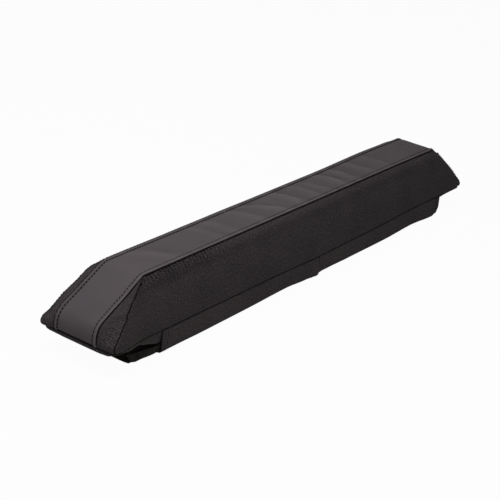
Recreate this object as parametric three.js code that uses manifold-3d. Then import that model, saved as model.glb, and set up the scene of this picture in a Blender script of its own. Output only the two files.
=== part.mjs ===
// A roof rack pad: a long foam pad in a sewn cover that wraps round a crossbar and closes
// underneath with hook-and-loop tape. A board or kayak lies on its smooth top strip.
// Units are millimetres. +X runs along the pad to its right end, -Y is the front side and
// +Z is up. The origin is on the floor, under the middle of the pad.

import * as THREE from "three";
import { mergeVertices } from "three/addons/utils/BufferGeometryUtils.js";
import Module from "manifold-3d";

// Padded body, measured at the outside of the cover
const PAD_LENGTH = 762;
const PAD_WIDTH = 98;
const PAD_HEIGHT = 60;
const TOP_LENGTH = 638;
const TOP_WIDTH = 56;
const END_UPRIGHT = 13;
const SIDE_UPRIGHT = 8;
const END_FOOT_RADIUS = 16;
const END_TOP_RADIUS = 22;
const SIDE_FOOT_RADIUS = 12;
const CORNER_RADIUS = 5;

// Cover panels
const COVER = 1.6;
const FOLD_WIDTH = 4;
const FOLD_RISE = 1;

// Underside of the body
const BASE_PANEL = 1.6;
const BINDING_HEIGHT = 4.3;
const BINDING = 1.6;
const GRIP_MAT = 1.2;
const GRIP_MARGIN = 6;

// Wrap flaps that hang from the two long base seams
const WRAP_DROP = 27;
const FLAP = 1.2;
const FLAP_LENGTH = 310;
const FLAP_SPACE = 2;
const FRONT_WRAP_CENTRE = 12;
const REAR_WRAP_CENTRE = -37;
const FLAP_BEND = 9;
const FRONT_FLAP_MARGIN = 15;
const LIP_HEIGHT = 12;
const LIP_BEND = 8;
const HEM_WIDTH = 9;
const HEM_RISE = 1;

// Hook-and-loop tapes and the liner that faces the crossbar
const TAPE = 0.8;
const TAPE_MARGIN = 3;
const LINER = 1.2;
const LINER_MARGIN = 5;

// Clearance that two pieces keep where they lie on each other or are sewn together
const GAP = 0.3;
const ARC_SEGMENTS = 2;

const HALF_LENGTH = PAD_LENGTH / 2;
const HALF_WIDTH = PAD_WIDTH / 2;
const HALF_STRIP = TOP_WIDTH / 2;
const LONG_CUT = PAD_LENGTH;

// Layers under the pad, from the floor up
const HOOK_TAPE_Z = FLAP + GAP;
const LOOP_TAPE_Z = HOOK_TAPE_Z + TAPE + GAP;
const REAR_FLAP_Z = LOOP_TAPE_Z + TAPE + GAP;
const LINER_Z = REAR_FLAP_Z + FLAP + GAP;

const wasm = await Module();
wasm.setup();

const MATERIALS = {
  stripFabric: finish(0x585456, 0.55),
  wovenFabric: finish(0x2c292a, 0.85),
  flapFabric: finish(0x322f30, 0.85),
  foam: finish(0x3a3a3c, 0.95),
  binding: finish(0x262324, 0.8),
  rubber: finish(0x1f1e1f, 0.7),
  hook: finish(0x161516, 0.9),
  loop: finish(0x1b1a1b, 1),
  liner: finish(0x3c393a, 0.6),
};

function finish(color, roughness) {
  return new THREE.MeshStandardMaterial({ color, roughness, metalness: 0 });
}

// Solids and meshes

function solidFrom(geometry) {
  const bare = geometry.index ? geometry.toNonIndexed() : geometry.clone();
  bare.deleteAttribute("normal");
  bare.deleteAttribute("uv");
  const merged = mergeVertices(bare, 1e-4);
  const vertProperties = merged.attributes.position.array;
  const triVerts = new Uint32Array(merged.index.array);
  return new wasm.Manifold(new wasm.Mesh({ numProp: 3, vertProperties, triVerts }));
}

function geometryFrom(solid) {
  const { vertProperties, triVerts } = solid.getMesh();
  const geometry = new THREE.BufferGeometry();
  geometry.setAttribute("position", new THREE.BufferAttribute(vertProperties, 3));
  geometry.setIndex(new THREE.BufferAttribute(triVerts, 1));
  geometry.computeVertexNormals();
  return geometry;
}

function meshFrom(name, solid, material) {
  const mesh = new THREE.Mesh(geometryFrom(solid), material);
  mesh.name = name;
  return mesh;
}

// A block between two corners
function block(low, high) {
  const size = high.map((value, axis) => value - low[axis]);
  const middle = high.map((value, axis) => (value + low[axis]) / 2);
  return solidFrom(new THREE.BoxGeometry(...size).translate(...middle));
}

// A closed outline whose corners may be rounded: each corner is [across, up, radius]
function roundedShape(corners) {
  const shape = new THREE.Shape();
  corners.forEach(([x, y, radius = 0], index) => {
    const here = new THREE.Vector2(x, y);
    const before = cornerAt(corners, index - 1);
    const after = cornerAt(corners, index + 1);
    const back = before.sub(here).normalize();
    const on = after.sub(here).normalize();
    const halfAngle = Math.acos(THREE.MathUtils.clamp(back.dot(on), -1, 1)) / 2;
    if (radius <= 0) {
      if (index === 0) shape.moveTo(x, y);
      else shape.lineTo(x, y);
      return;
    }
    const reach = radius / Math.tan(halfAngle);
    const start = here.clone().addScaledVector(back, reach);
    const end = here.clone().addScaledVector(on, reach);
    const inward = back.clone().add(on).normalize();
    const centre = here.clone().addScaledVector(inward, radius / Math.sin(halfAngle));
    if (index === 0) shape.moveTo(start.x, start.y);
    else shape.lineTo(start.x, start.y);
    const from = start.clone().sub(centre).angle();
    const to = end.clone().sub(centre).angle();
    const clockwise = back.cross(on) > 0;
    shape.absarc(centre.x, centre.y, radius, from, to, clockwise);
  });
  shape.closePath();
  return shape;
}

function cornerAt(corners, index) {
  const [x, y] = corners[(index + corners.length) % corners.length];
  return new THREE.Vector2(x, y);
}

// A plan outline, X and Y, raised from one height to another
function raised(shape, low, high) {
  const geometry = new THREE.ExtrudeGeometry(shape, {
    depth: high - low,
    bevelEnabled: false,
    curveSegments: ARC_SEGMENTS,
  });
  return solidFrom(geometry.translate(0, 0, low));
}

// A side outline, X and Z, carried across the pad
function acrossPad(shape, halfDepth) {
  const solid = raised(shape, -halfDepth, halfDepth);
  return solid.rotate([90, 0, 0]);
}

// An end outline, Y and Z, carried along the pad from one X to another
function alongPad(shape, from, to) {
  return raised(shape, from, to).rotate([90, 0, 90]);
}

// Padded body

// Half of a sloping profile: an upright foot, then a straight slope to the top.
// The inset moves every face inwards by the same distance.
function slopedOutline({ halfBase, halfTop, upright, footRadius, topRadius, inset, floor }) {
  const slope = new THREE.Vector2(halfTop - halfBase, PAD_HEIGHT - upright).normalize();
  const outward = new THREE.Vector2(slope.y, -slope.x);
  const onSlope = new THREE.Vector2(halfBase, upright).addScaledVector(outward, -inset);
  const foot = halfBase - inset;
  const footTop = onSlope.y + ((foot - onSlope.x) / slope.x) * slope.y;
  const top = PAD_HEIGHT - inset;
  const topEdge = onSlope.x + ((top - onSlope.y) / slope.y) * slope.x;
  return roundedShape([
    [-foot, floor],
    [foot, floor],
    [foot, footTop, Math.max(footRadius - inset, 1)],
    [topEdge, top, topRadius && Math.max(topRadius - inset, 1)],
    [-topEdge, top, topRadius && Math.max(topRadius - inset, 1)],
    [-foot, footTop, Math.max(footRadius - inset, 1)],
  ]);
}

function planOutline(halfLength, halfWidth, radius) {
  return roundedShape([
    [-halfLength, -halfWidth, radius],
    [halfLength, -halfWidth, radius],
    [halfLength, halfWidth, radius],
    [-halfLength, halfWidth, radius],
  ]);
}

// The hipped body, its base seam at height 0
function hippedBody(inset, floor) {
  const fromTheFront = slopedOutline({
    halfBase: HALF_LENGTH,
    halfTop: TOP_LENGTH / 2,
    upright: END_UPRIGHT,
    footRadius: END_FOOT_RADIUS,
    topRadius: END_TOP_RADIUS,
    inset,
    floor,
  });
  const fromTheEnd = slopedOutline({
    halfBase: HALF_WIDTH,
    halfTop: HALF_STRIP,
    upright: SIDE_UPRIGHT,
    footRadius: SIDE_FOOT_RADIUS,
    topRadius: 0,
    inset,
    floor,
  });
  const radius = CORNER_RADIUS - Math.min(inset, CORNER_RADIUS / 2);
  const plan = planOutline(HALF_LENGTH - inset, HALF_WIDTH - inset, radius);
  return acrossPad(fromTheFront, PAD_WIDTH)
    .intersect(alongPad(fromTheEnd, -LONG_CUT, LONG_CUT))
    .intersect(raised(plan, floor, PAD_HEIGHT + FOLD_RISE));
}

function coverShell() {
  return hippedBody(0, 0).subtract(hippedBody(COVER, -COVER));
}

function stripZone(from, to) {
  return block([-LONG_CUT, from, -COVER], [LONG_CUT, to, PAD_HEIGHT + 2 * FOLD_RISE]);
}

// The smooth strip runs up one end, along the top and down the other end. Its long edges
// are folded under, so they stand proud.
function topStrip(shell) {
  const edge = HALF_STRIP - GAP / 2;
  const foldFrom = HALF_STRIP - FOLD_WIDTH;
  const proud = hippedBody(-FOLD_RISE, 0).subtract(hippedBody(COVER, -COVER));
  const frontFold = proud.intersect(stripZone(-edge, -foldFrom));
  const rearFold = proud.intersect(stripZone(foldFrom, edge));
  const inside = block(
    [-HALF_LENGTH, -HALF_WIDTH, 0],
    [HALF_LENGTH, HALF_WIDTH, PAD_HEIGHT + 2 * FOLD_RISE],
  );
  return shell.intersect(stripZone(-edge, edge)).add(frontFold.add(rearFold).intersect(inside));
}

// Plan of the seam between a side panel and a gusset: the line of the hip, in the corner
// that the two signs name, moved by half a seam towards the side that is kept
function hipLine(endSign, sideSign, shift) {
  const start = new THREE.Vector2(TOP_LENGTH / 2, HALF_STRIP);
  const hip = new THREE.Vector2(HALF_LENGTH, HALF_WIDTH).sub(start).normalize();
  const across = new THREE.Vector2(hip.y, -hip.x).multiplyScalar(shift);
  const seam = HALF_STRIP + GAP / 2;
  const first = start.clone().add(across);
  first.addScaledVector(hip, (seam - first.y) / hip.y);
  const last = first.clone().addScaledVector(hip, PAD_WIDTH);
  return [first, last].map((point) => [endSign * point.x, sideSign * point.y]);
}

function sidePanel(shell, sideSign) {
  const [leftIn, leftOut] = hipLine(-1, sideSign, -GAP / 2);
  const [rightIn, rightOut] = hipLine(1, sideSign, -GAP / 2);
  const zone = roundedShape([leftIn, rightIn, rightOut, leftOut]);
  return shell.intersect(raised(zone, -COVER, PAD_HEIGHT + FOLD_RISE));
}

function gusset(shell, endSign, sideSign) {
  const [inner, outer] = hipLine(endSign, sideSign, GAP / 2);
  const zone = roundedShape([inner, outer, [outer[0], inner[1]]]);
  return shell.intersect(raised(zone, -COVER, PAD_HEIGHT + FOLD_RISE));
}

// Underside of the body, hung below the base seam

function baseBinding(halfLength, halfWidth) {
  const low = -GAP - BINDING_HEIGHT;
  const outer = planOutline(halfLength, halfWidth, CORNER_RADIUS);
  const innerRadius = Math.max(CORNER_RADIUS - BINDING, 1);
  const inner = planOutline(halfLength - BINDING, halfWidth - BINDING, innerRadius);
  return raised(outer, low, -GAP).subtract(raised(inner, low - GAP, 0));
}

function plate(halfLength, halfWidth, top, thickness) {
  const outline = planOutline(halfLength, halfWidth, CORNER_RADIUS / 2);
  return raised(outline, top - thickness, top);
}

// Wrap flaps

// A front flap hangs from the front base seam, turns under and lies on the floor
function frontFlapSection(thickness) {
  const inner = Math.max(FLAP_BEND - thickness, 1);
  const reach = HALF_WIDTH - FRONT_FLAP_MARGIN;
  return roundedShape([
    [-HALF_WIDTH, WRAP_DROP - GAP],
    [-HALF_WIDTH, 0, FLAP_BEND],
    [reach, 0],
    [reach, thickness],
    [-HALF_WIDTH + thickness, thickness, inner],
    [-HALF_WIDTH + thickness, WRAP_DROP - GAP],
  ]);
}

// A rear flap hangs from the rear base seam, runs over the front flap and turns up inside it
function rearFlapSection(thickness) {
  const low = REAR_FLAP_Z;
  const lip = -HALF_WIDTH + FLAP + HEM_RISE + 2 * GAP;
  const bend = FLAP_BEND;
  return roundedShape([
    [HALF_WIDTH, WRAP_DROP - GAP],
    [HALF_WIDTH - thickness, WRAP_DROP - GAP],
    [HALF_WIDTH - thickness, low + thickness, Math.max(bend - thickness, 1)],
    [lip + thickness, low + thickness, Math.max(LIP_BEND - thickness, 1)],
    [lip + thickness, LIP_HEIGHT],
    [lip, LIP_HEIGHT],
    [lip, low, LIP_BEND],
    [HALF_WIDTH, low, bend],
  ]);
}

// A flap between two X positions, with its two ends hemmed to the inside
function hemmedFlap(section, from, to) {
  const hemmed = section(FLAP + HEM_RISE);
  return alongPad(section(FLAP), from, to)
    .add(alongPad(hemmed, from, from + HEM_WIDTH))
    .add(alongPad(hemmed, to - HEM_WIDTH, to));
}

// X positions of the left and right flap of one side of the wrap
function flapRange(centre, endSign) {
  const near = centre + (endSign * FLAP_SPACE) / 2;
  const far = near + endSign * FLAP_LENGTH;
  return [Math.min(near, far), Math.max(near, far)];
}

// A flat strip that lies between the hems of one flap
function stripBetweenHems([from, to], front, rear, low, thickness, margin) {
  const inset = HEM_WIDTH + margin;
  return block([from + inset, front, low], [to - inset, rear, low + thickness]);
}

function buildPad() {
  const pad = new THREE.Group();
  const shell = coverShell();
  const core = hippedBody(COVER + GAP, 0);
  pad.add(meshFrom("foam_core", core, MATERIALS.foam));
  pad.add(meshFrom("top_strip", topStrip(shell), MATERIALS.stripFabric));
  for (const [side, sideSign] of [["front", -1], ["rear", 1]]) {
    const panel = sidePanel(shell, sideSign);
    pad.add(meshFrom(`${side}_side_panel`, panel, MATERIALS.wovenFabric));
    for (const [end, endSign] of [["left", -1], ["right", 1]]) {
      const corner = gusset(shell, endSign, sideSign);
      pad.add(meshFrom(`${side}_${end}_gusset`, corner, MATERIALS.wovenFabric));
    }
  }
  const bindingWidth = HALF_WIDTH - FLAP - HEM_RISE - GAP;
  const binding = baseBinding(HALF_LENGTH, bindingWidth);
  pad.add(meshFrom("base_binding", binding, MATERIALS.binding));
  const panelLength = HALF_LENGTH - BINDING - GAP;
  const panelWidth = bindingWidth - BINDING - GAP;
  const panel = plate(panelLength, panelWidth, -GAP, BASE_PANEL);
  pad.add(meshFrom("base_panel", panel, MATERIALS.wovenFabric));
  const matTop = -GAP - BASE_PANEL - GAP;
  const mat = plate(panelLength - GRIP_MARGIN, panelWidth - GRIP_MARGIN, matTop, GRIP_MAT);
  pad.add(meshFrom("grip_mat", mat, MATERIALS.rubber));
  pad.position.z = WRAP_DROP;
  return pad;
}

function buildWrap() {
  const wrap = new THREE.Group();
  const frontFlat = -HALF_WIDTH + FLAP_BEND;
  const frontFree = HALF_WIDTH - FRONT_FLAP_MARGIN;
  const lipInside = -HALF_WIDTH + FLAP + HEM_RISE + 2 * GAP + LIP_BEND;
  const rearFlat = HALF_WIDTH - FLAP_BEND;
  for (const [end, endSign] of [["left", -1], ["right", 1]]) {
    const front = flapRange(FRONT_WRAP_CENTRE, endSign);
    const rear = flapRange(REAR_WRAP_CENTRE, endSign);
    const frontFlap = hemmedFlap(frontFlapSection, ...front);
    const rearFlap = hemmedFlap(rearFlapSection, ...rear);
    const hookFrom = frontFlat + TAPE_MARGIN;
    const hookTo = frontFree - TAPE_MARGIN;
    const hook = stripBetweenHems(front, hookFrom, hookTo, HOOK_TAPE_Z, TAPE, TAPE_MARGIN);
    const loopFrom = lipInside + TAPE_MARGIN;
    const loopTo = rearFlat - TAPE_MARGIN;
    const loop = stripBetweenHems(rear, loopFrom, loopTo, LOOP_TAPE_Z, TAPE, TAPE_MARGIN);
    const linerFrom = lipInside + LINER_MARGIN;
    const linerTo = rearFlat - LINER_MARGIN;
    const liner = stripBetweenHems(rear, linerFrom, linerTo, LINER_Z, LINER, GAP);
    wrap.add(meshFrom(`front_flap_${end}`, frontFlap, MATERIALS.flapFabric));
    wrap.add(meshFrom(`rear_flap_${end}`, rearFlap, MATERIALS.flapFabric));
    wrap.add(meshFrom(`hook_tape_${end}`, hook, MATERIALS.hook));
    wrap.add(meshFrom(`loop_tape_${end}`, loop, MATERIALS.loop));
    wrap.add(meshFrom(`bar_liner_${end}`, liner, MATERIALS.liner));
  }
  return wrap;
}

const roofRackPad = new THREE.Group();
roofRackPad.name = "roof_rack_pad";
roofRackPad.add(buildPad(), buildWrap());

export default roofRackPad;
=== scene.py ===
"""A roof rack pad with its sewn cover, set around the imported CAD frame. Everything is in metres."""

import math

import bmesh
import bpy
from mathutils import Matrix, Vector, noise


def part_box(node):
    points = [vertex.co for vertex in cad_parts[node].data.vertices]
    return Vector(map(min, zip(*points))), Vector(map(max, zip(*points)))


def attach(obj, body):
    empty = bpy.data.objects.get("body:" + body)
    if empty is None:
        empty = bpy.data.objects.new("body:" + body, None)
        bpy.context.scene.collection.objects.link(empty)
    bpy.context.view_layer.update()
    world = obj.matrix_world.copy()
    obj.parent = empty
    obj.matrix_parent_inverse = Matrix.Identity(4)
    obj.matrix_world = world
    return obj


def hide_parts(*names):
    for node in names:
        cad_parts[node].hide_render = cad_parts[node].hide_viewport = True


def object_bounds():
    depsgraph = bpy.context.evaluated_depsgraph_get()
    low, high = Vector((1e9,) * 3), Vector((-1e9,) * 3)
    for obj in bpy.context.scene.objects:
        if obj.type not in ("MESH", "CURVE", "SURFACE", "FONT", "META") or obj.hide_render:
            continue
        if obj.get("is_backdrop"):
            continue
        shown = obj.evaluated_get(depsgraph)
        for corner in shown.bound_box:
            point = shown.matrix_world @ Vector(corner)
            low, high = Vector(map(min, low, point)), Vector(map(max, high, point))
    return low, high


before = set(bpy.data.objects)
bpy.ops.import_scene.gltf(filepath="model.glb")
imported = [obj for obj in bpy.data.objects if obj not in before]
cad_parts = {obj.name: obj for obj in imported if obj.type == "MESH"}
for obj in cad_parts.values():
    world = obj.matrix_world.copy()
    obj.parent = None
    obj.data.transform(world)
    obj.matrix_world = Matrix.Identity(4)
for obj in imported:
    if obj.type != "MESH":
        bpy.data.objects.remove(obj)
cad_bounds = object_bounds()

MM = 0.001

# The padded body's main lines, read from the frame
STRIP_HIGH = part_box("top_strip")[1]
SIDE_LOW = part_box("front_side_panel")[0]
GUSSET_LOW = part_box("front_right_gusset")[0]
HALF_LENGTH = STRIP_HIGH.x
HALF_WIDTH = -SIDE_LOW.y
HALF_STRIP = STRIP_HIGH.y
TOP_HALF_LENGTH = GUSSET_LOW.x
BASE_Z = SIDE_LOW.z
TOP_Z = STRIP_HIGH.z - 0.7 * MM

# Points inside the body and its wrap, from which panels face away
BODY_INSIDE = Vector((0, 0, BASE_Z))
WRAP_INSIDE = Vector((0, 0, 0.018))
FACING_INSIDE = Vector((-0.3, 0, 0.015))

# Cloth
CLOTH = 1.1 * MM
GRID = 2.5 * MM
FOLD_WIDTH = 4.2 * MM
FOLD_RISE = 1.0 * MM
HEM_WIDTH = 10 * MM
YARN = 0.95 * MM

# A flap has no hem within this distance of the middle, where the two flaps meet
FLAPS_MEET = 50 * MM

# Steps of the simulation that swells a panel
SWELL_STEPS = 24

# Thread
TOPSTITCH_PITCH = 4.3 * MM
TOPSTITCH_LENGTH = 2.8 * MM
SEAM_PITCH = 3.6 * MM
SEAM_STITCH_LENGTH = 2.2 * MM
BODY_THREAD = 0.8 * MM
HEM_THREAD = 0.5 * MM
KNOT = 1.3 * MM

# The camera, worked out from the corners of the pad in the photograph
CAMERA_PLACE = Vector((-1.4817, -0.8633, 0.7292))
CAMERA_AZIMUTH = math.radians(-58.56)
CAMERA_ELEVATION = math.radians(22.66)
CAMERA_ROLL = math.radians(7.69)
CAMERA_LENS = 110.3


# Outlines

class Path:
    """A line in one plane, measured along its length."""

    def __init__(self, points):
        self.points = [Vector(p) for p in points]
        self.marks = [0.0]
        for a, b in zip(self.points, self.points[1:]):
            self.marks.append(self.marks[-1] + (b - a).length)
        self.length = self.marks[-1]

    def at(self, distance):
        distance = min(max(distance, 0), self.length)
        for i in range(len(self.marks) - 1):
            if distance <= self.marks[i + 1]:
                span = self.marks[i + 1] - self.marks[i]
                share = (distance - self.marks[i]) / span if span else 0
                return self.points[i].lerp(self.points[i + 1], share)
        return self.points[-1].copy()


def rounded(corners, steps=8):
    """The points of an open outline whose corners (x, y, radius) are rounded."""
    points = []
    for i, (x, y, radius) in enumerate(corners):
        here = Vector((x, y))
        if radius <= 0 or i in (0, len(corners) - 1):
            points.append(here)
            continue
        back = (Vector(corners[i - 1][:2]) - here).normalized()
        on = (Vector(corners[i + 1][:2]) - here).normalized()
        half = back.angle(on) / 2
        if half > math.radians(89.5):
            points.append(here)
            continue
        reach = radius / math.tan(half)
        centre = here + (back + on).normalized() * (radius / math.sin(half))
        start, end = here + back * reach - centre, here + on * reach - centre
        turn = start.angle_signed(end)
        for step in range(steps + 1):
            points.append(centre + Matrix.Rotation(-turn * step / steps, 2) @ start)
    return points


# The end outlines are fuller than straight lines, as stuffed cloth is. Each has an upright foot.
LEFT_PATH = Path(rounded([
    (HALF_LENGTH - 0.4 * MM, BASE_Z, 0),
    (HALF_LENGTH + 3.8 * MM, BASE_Z + 4.5 * MM, 4 * MM),
    (HALF_LENGTH + 3.8 * MM, BASE_Z + 22.6 * MM, 20 * MM),
    (TOP_HALF_LENGTH - 3.2 * MM, TOP_Z, 18 * MM),
    (0, TOP_Z, 0),
]))
RIGHT_PATH = Path(rounded([
    (HALF_LENGTH + 0.6 * MM, BASE_Z, 0),
    (HALF_LENGTH + 2.3 * MM, BASE_Z + 4.5 * MM, 3 * MM),
    (HALF_LENGTH - 27.8 * MM, BASE_Z + 33.1 * MM, 150 * MM),
    (TOP_HALF_LENGTH - 0.7 * MM, TOP_Z, 8 * MM),
    (0, TOP_Z, 0),
]))
LEFT_HALF = [Vector((-p.x, p.y)) for p in LEFT_PATH.points]
BODY_LINE = Path(LEFT_HALF[:-1] + RIGHT_PATH.points[-2::-1])
SIDE_PATH = Path(rounded([
    (HALF_WIDTH, BASE_Z, 0),
    (HALF_WIDTH + 0.6 * MM, BASE_Z + 9 * MM, 14 * MM),
    (HALF_STRIP + 8.2 * MM, BASE_Z + 51.5 * MM, 16 * MM),
    (HALF_STRIP, TOP_Z, 0),
]))


def reach_at(path, z):
    """How far from the middle a half outline reaches at height z."""
    z = max(z, BASE_Z)
    for a, b in zip(path.points, path.points[1:]):
        if a.y <= z <= b.y and b.y > a.y:
            return a.lerp(b, (z - a.y) / (b.y - a.y)).x
    return path.points[-2].x


def end_path(x):
    return LEFT_PATH if x < 0 else RIGHT_PATH


def to_end(point):
    """How far a point of the cover lies from the outline of the nearer end."""
    return reach_at(end_path(point.x), min(point.z, TOP_Z - 0.5 * MM)) - abs(point.x)


def to_side(point):
    return reach_at(SIDE_PATH, min(point.z, TOP_Z)) - abs(point.y)


# How far the corners draw in beside the strip, and how far the left end leans, by height
DRAW_NEAR = [
    (0, 4.5), (29, 4.5), (35, 5), (40, 10.5), (45, 16), (50, 19.5), (54, 20.2), (61.6, 11),
    (71.7, 2.6), (76, -0.5), (79, -1.5), (82, 0), (85, 0.5), (88, 0),
]
DRAW_FAR = [
    (0, 0), (31, 0), (35, 2.5), (41, 12.5), (46, 16), (51, 17), (57, 15.5), (66.5, 13.2), (72, 11),
    (77, 6.7), (83, 2), (88, 0),
]
LEAN = [(22, 0.022), (34, 0.015), (43, 0.03), (51, 0.06), (62, 0.03), (74, -0.04), (90, -0.04)]

# A corner draws in over this distance from the end, and much less at the right end
DRAW_REACH = 70 * MM
DRAW_RIGHT = 0.05

# How round the corners are near the base, and the heights where that fades out
CORNER_LEFT = 4 * MM
CORNER_RIGHT = 2.5 * MM
CORNER_FADE = (36 * MM, 52 * MM)

# How deep the seam between a side and a gusset lies
HIP_DIP = 0.9 * MM

# How much narrower the far half of the strip is on top
FAR_EDGE_IN = 2.6 * MM

# How much lower the top is at the right end, and how much higher and shorter its far half is
RIGHT_LOWER = 0.9 * MM
FAR_RIGHT_HIGHER = 2.2 * MM
FAR_RIGHT_SHORTER = 3.5 * MM

# How much higher the near edge of the top is, and how much lower the far left corner of the base
NEAR_HIGHER = 1.2 * MM
FAR_LEFT_LOWER = 1.5 * MM

# The base is the lowest part of the cover, up to this height over its seam
LOW_PART = 28 * MM

# How the seam round the base wanders up and down along the front
BASE_WAVE = [
    (-386, -1.6), (-378, -1.9), (-370, -2.4), (-358, -1.6), (-341, 0.4), (-325, 1), (-272, 0.2),
    (-99, -1), (13, -3.4), (120, -2.8), (277, -0.5), (320, -1.2), (386, -0.8),
]


def base_wave(x):
    return along_marks(BASE_WAVE, x / MM) * MM


def near_base_front(y):
    """1 at the cover's front, where the base seam wanders, and 0 inside it."""
    return smooth(-0.03, -0.045, y)


def draw_corners(point, place, end, side):
    """Moves place for the corners: drawn in beside the strip, and rounded near the base."""
    beside = abs(point.y) - (HALF_STRIP - 1 * MM)
    width = max(reach_at(SIDE_PATH, min(point.z, TOP_Z)) - HALF_STRIP, 4 * MM)
    marks = DRAW_NEAR if point.y < 0 else DRAW_FAR
    draw = along_marks(marks, point.z / MM) * MM * (1 if point.x < 0 else DRAW_RIGHT)
    draw *= smooth(0, width, beside) * (1 - smooth(0, DRAW_REACH, end))
    place.x -= draw if point.x > 0 else -draw
    radius = CORNER_LEFT if point.x < 0 else CORNER_RIGHT
    off = Vector((radius - end, radius - side))
    if off.x > 0 and off.y > 0:
        share = 1 - smooth(*CORNER_FADE, point.z)
        moved = off * ((max(off) / off.length - 1) * share)
        place.x += moved.x if point.x > 0 else -moved.x
        place.y += moved.y if point.y > 0 else -moved.y


def settle(point):
    """Where a point of the plain cover lies on the real one: the corners draw in and round off,
    the left end leans, the top's edges and the base seam wander."""
    place = point.copy()
    end, side = to_end(point), to_side(point)
    draw_corners(point, place, end, side)
    dip = HIP_DIP * (1 - smooth(0.2 * MM, 2.6 * MM, max(end, side)))
    place.x -= math.copysign(dip, point.x)
    place.y -= math.copysign(dip, point.y)
    lean = along_marks(LEAN, point.z / MM) * (1 - smooth(-0.31, -0.22, point.x))
    place.x += lean * point.y
    high = smooth(0.05, 0.08, point.z)
    place.z -= RIGHT_LOWER * smooth(0.2, 0.31, point.x) * high
    far = smooth(0, 25 * MM, point.y) * high
    place.z += FAR_RIGHT_HIGHER * far * smooth(0.1, 0.25, point.x)
    place.x -= FAR_RIGHT_SHORTER * far * smooth(0.28, 0.31, point.x)
    place.z += NEAR_HIGHER * smooth(0, -HALF_STRIP, point.y) * smooth(0.07, 0.085, point.z)
    inwards = smooth(2 * MM, 24 * MM, point.y) * (1 - smooth(28 * MM, 34 * MM, point.y))
    place.y -= FAR_EDGE_IN * inwards * smooth(0.045, 0.08, point.z)
    low = 1 - smooth(BASE_Z, BASE_Z + LOW_PART, point.z)
    place.z += base_wave(point.x) * low * near_base_front(point.y)
    far_left = smooth(0.03, 0.045, point.y) * smooth(-0.36, -0.375, point.x)
    place.z -= FAR_LEFT_LOWER * low * far_left
    return place


def smooth(start, end, value):
    """0 before start, 1 after end, and an even ease between them. start may be the higher."""
    t = min(max((value - start) / (end - start), 0), 1)
    return t * t * (3 - 2 * t)


def bump_at(centre, width, value):
    return math.exp(-((value - centre) / width) ** 2)


def along_marks(marks, x):
    """The eased value at x between marks of (x, value)."""
    for (x0, v0), (x1, v1) in zip(marks, marks[1:]):
        if x <= x1:
            return v0 + (v1 - v0) * smooth(x0, x1, x)
    return marks[-1][1]


# Meshes

def new_object(name, bm, *materials):
    mesh = bpy.data.meshes.new(name)
    bm.to_mesh(mesh)
    bm.free()
    obj = bpy.data.objects.new(name, mesh)
    bpy.context.scene.collection.objects.link(obj)
    for material in materials:
        mesh.materials.append(material)
    mesh.shade_smooth()
    return obj


def settled_mesh(obj):
    """The mesh of an object with its modifiers and simulation applied."""
    graph = bpy.context.evaluated_depsgraph_get()
    return bpy.data.meshes.new_from_object(obj.evaluated_get(graph))


def cloth_grid(columns, rows, place, cloth_uv):
    """A sheet whose point (a, b), both from 0 to 1, lies at place(a, b)."""
    bm = bmesh.new()
    bmesh.ops.create_grid(bm, x_segments=columns, y_segments=rows, size=0.5)
    uv_layer = bm.loops.layers.uv.new("cloth")
    for face in bm.faces:
        for loop in face.loops:
            a, b = loop.vert.co.x + 0.5, loop.vert.co.y + 0.5
            loop[uv_layer].uv = cloth_uv(a, b)
    for vert in bm.verts:
        vert.co = place(vert.co.x + 0.5, vert.co.y + 0.5)
    return bm


def cut_panel(name, material, columns, rows, place, cloth_uv, inside):
    """A cloth panel that faces away from a point inside the pad, and the area of its flat cut."""
    bm = cloth_grid(columns, rows, place, cloth_uv)
    area = flat_area(bm)
    face_outwards(bm, inside)
    return new_object(name, bm, material), area


def face_outwards(bm, inside):
    """Turns a sheet's faces away from a point inside the pad."""
    bm.normal_update()
    score = sum((f.calc_center_median() - inside).dot(f.normal) * f.calc_area() for f in bm.faces)
    if score < 0:
        bmesh.ops.reverse_faces(bm, faces=bm.faces)


def push(obj, lift):
    """Moves each point along its normal by lift(point)."""
    mesh = obj.data
    normals = [n.vector.copy() for n in mesh.vertex_normals]
    moves = [lift(v.co) for v in mesh.vertices]
    for vert, normal, move in zip(mesh.vertices, normals, moves):
        vert.co += normal * move


def swell(obj, held, pressure, reach):
    """Blows a cloth panel outwards between its seams, by reach at most. held(point) is 1 where it
    is sewn."""
    scene = bpy.context.scene
    mesh = obj.data
    group = obj.vertex_groups.new(name="sewn")
    for vert in mesh.vertices:
        group.add([vert.index], held(vert.co), "REPLACE")
    start = [v.co.copy() for v in mesh.vertices]
    modifier = obj.modifiers.new("swell", "CLOTH")
    cloth = modifier.settings
    cloth.quality = 6
    cloth.mass = 0.2
    cloth.tension_stiffness = 60
    cloth.compression_stiffness = 60
    cloth.shear_stiffness = 30
    cloth.bending_stiffness = 0.6
    cloth.air_damping = 3
    cloth.use_pressure = True
    cloth.uniform_pressure_force = pressure
    cloth.vertex_group_mass = "sewn"
    cloth.effector_weights.gravity = 0
    modifier.collision_settings.use_collision = False
    modifier.point_cache.frame_end = SWELL_STEPS
    for step in range(1, SWELL_STEPS + 1):
        scene.frame_set(step)
    blown = settled_mesh(obj)
    moves = [v.co - p for v, p in zip(blown.vertices, start)]
    obj.modifiers.clear()
    scene.frame_set(1)
    for vert, place, move in zip(obj.data.vertices, start, moves):
        if move.length > reach:
            move *= reach / move.length
        vert.co = place + move
    bpy.data.meshes.remove(blown)


def shape(obj, move):
    """Puts each point of a mesh at move(point)."""
    for vert in obj.data.vertices:
        vert.co = move(vert.co)


def mark(obj, name, measure):
    """Keeps a measure of each point for the object's material."""
    layer = obj.data.attributes.new(name, "FLOAT", "POINT")
    for value, vert in zip(layer.data, obj.data.vertices):
        value.value = measure(vert.co)


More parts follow.
